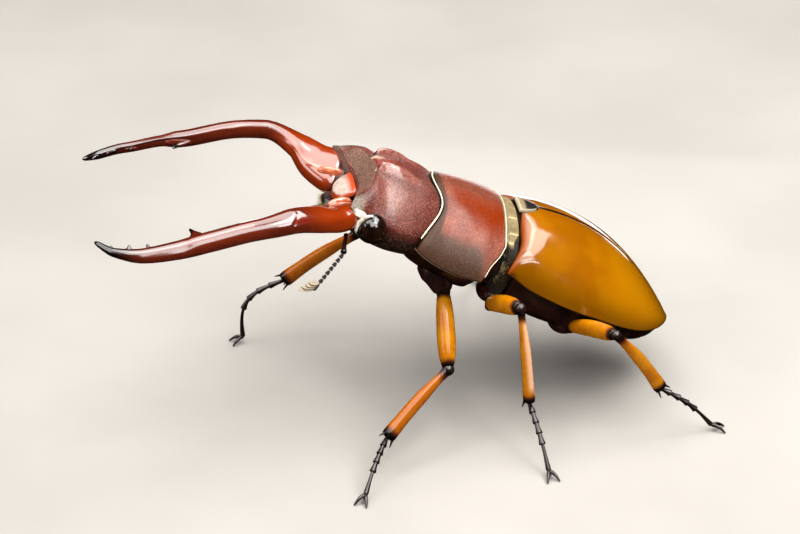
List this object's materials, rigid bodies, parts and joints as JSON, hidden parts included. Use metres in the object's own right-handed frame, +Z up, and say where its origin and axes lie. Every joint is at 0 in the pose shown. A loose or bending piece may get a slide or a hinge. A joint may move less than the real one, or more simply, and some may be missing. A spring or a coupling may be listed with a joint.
{
  "type": "stag beetle",
  "caption": "Life-size model of a long-jawed stag beetle, standing on its six feet with head raised and jaws spread, with dark reddish shields and amber wing cases.",
  "frame": {"origin": "the point of the floor under the middle of the bounding box", "axes": "the head points to -X, the beetle's left side is -Y, +Z is up"},
  "size_m": [0.0783, 0.0596, 0.0335],
  "materials": {
    "shield": "finely granular reddish brown, satin",
    "jaws": "polished mahogany red, black at the points and teeth",
    "elytra": "satin amber, turning olive yellow behind, with dark edges",
    "eyes": "polished black brown",
    "clypeus": "polished orange red",
    "underside": "dark maroon, satin",
    "pubescence": "black under short grey-yellow hair",
    "legs": "glossy amber with dark ends",
    "joints": "glossy black brown",
    "clubs": "dull grey brown"
  },
  "bodies": {
    "root": {"elytron_left": "elytra", "elytron_right": "elytra", "scutellum": "pubescence", "mesothorax": "pubescence", "metathorax": "underside", "abdomen": "underside", "pronotum": "shield", "prosternum": "underside", "head": "shield", "eye_left": "eyes", "eye_right": "eyes", "clypeus": "clypeus", "mouthparts": "underside", "mandible_left": "jaws", "mandible_right": "jaws", "antenna_left_scape": "joints", "antenna_left_club": "clubs", "palp_left": "joints", "antenna_right_scape": "joints", "antenna_right_club": "clubs", "palp_right": "joints", "leg_fore_left_coxa": "joints", "leg_fore_left_femur": "legs", "leg_fore_left_tibia": "legs", "leg_fore_left_tarsus": "joints", "leg_fore_right_coxa": "joints", "leg_fore_right_femur": "legs", "leg_fore_right_tibia": "legs", "leg_fore_right_tarsus": "joints", "leg_mid_left_coxa": "joints", "leg_mid_left_femur": "legs", "leg_mid_left_tibia": "legs", "leg_mid_left_tarsus": "joints", "leg_mid_right_coxa": "joints", "leg_mid_right_femur": "legs", "leg_mid_right_tibia": "legs", "leg_mid_right_tarsus": "joints", "leg_hind_left_coxa": "joints", "leg_hind_left_femur": "legs", "leg_hind_left_tibia": "legs", "leg_hind_left_tarsus": "joints", "leg_hind_right_coxa": "joints", "leg_hind_right_femur": "legs", "leg_hind_right_tibia": "legs", "leg_hind_right_tarsus": "joints"}
  },
  "joints": []
}
